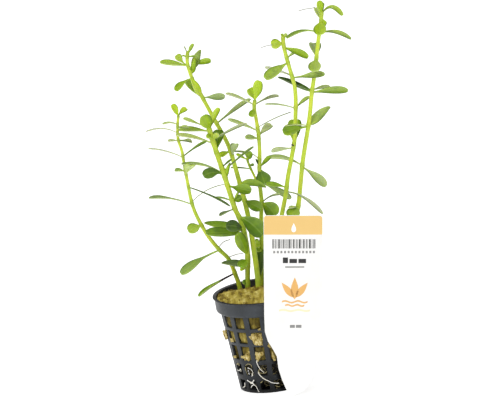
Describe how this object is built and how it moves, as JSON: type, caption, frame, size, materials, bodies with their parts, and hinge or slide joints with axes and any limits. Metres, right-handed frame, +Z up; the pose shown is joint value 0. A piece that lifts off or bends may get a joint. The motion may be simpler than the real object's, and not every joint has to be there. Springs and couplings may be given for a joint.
{
  "type": "potted bacopa monnieri",
  "caption": "Tall leafy aquarium plant cuttings rooted in mineral wool in a round lattice pot, with a plain plastic plant tag leaning on the collar.",
  "frame": {"origin": "centre of the pot's underside, where it rests", "axes": "+Z up along the pot's axis, -Y the front, where the tag leans, +X to the right as seen from the front"},
  "size_m": [0.1117, 0.0572, 0.1947],
  "materials": {
    "pot": "moulded, satin",
    "wool": "wet fibrous mineral wool",
    "tag": "smooth printed sheet",
    "stem": "smooth, slightly glossy",
    "leaf": "smooth, slightly glossy"
  },
  "bodies": {
    "root": {"net_pot": "pot", "mineral_wool": "wool", "name_tag": "tag", "stem_far_left": "stem", "leaf_far_left_1": "leaf", "leaf_far_left_2": "leaf", "leaf_far_left_3": "leaf", "leaf_far_left_4": "leaf", "leaf_far_left_5": "leaf", "leaf_far_left_6": "leaf", "leaf_far_left_7": "leaf", "stem_left": "stem", "leaf_left_1": "leaf", "leaf_left_2": "leaf", "leaf_left_3": "leaf", "leaf_left_4": "leaf", "leaf_left_5": "leaf", "leaf_left_6": "leaf", "leaf_left_7": "leaf", "leaf_left_8": "leaf", "leaf_left_9": "leaf", "leaf_left_10": "leaf", "leaf_left_11": "leaf", "stem_mid_left": "stem", "leaf_mid_left_1": "leaf", "leaf_mid_left_2": "leaf", "leaf_mid_left_3": "leaf", "leaf_mid_left_4": "leaf", "leaf_mid_left_5": "leaf", "leaf_mid_left_6": "leaf", "leaf_mid_left_7": "leaf", "stem_centre": "stem", "leaf_centre_1": "leaf", "leaf_centre_2": "leaf", "leaf_centre_3": "leaf", "leaf_centre_4": "leaf", "leaf_centre_5": "leaf", "leaf_centre_6": "leaf", "stem_right": "stem", "leaf_right_1": "leaf", "leaf_right_2": "leaf", "leaf_right_3": "leaf", "leaf_right_4": "leaf", "leaf_right_5": "leaf", "leaf_right_6": "leaf", "leaf_right_7": "leaf", "leaf_right_8": "leaf", "stem_far_right": "stem", "leaf_far_right_1": "leaf", "leaf_far_right_2": "leaf", "leaf_far_right_3": "leaf", "leaf_far_right_4": "leaf", "leaf_far_right_5": "leaf", "leaf_far_right_6": "leaf", "leaf_far_right_7": "leaf", "leaf_far_right_8": "leaf", "leaf_far_right_9": "leaf", "leaf_far_right_10": "leaf", "leaf_far_right_11": "leaf", "leaf_far_right_12": "leaf"}
  },
  "joints": []
}
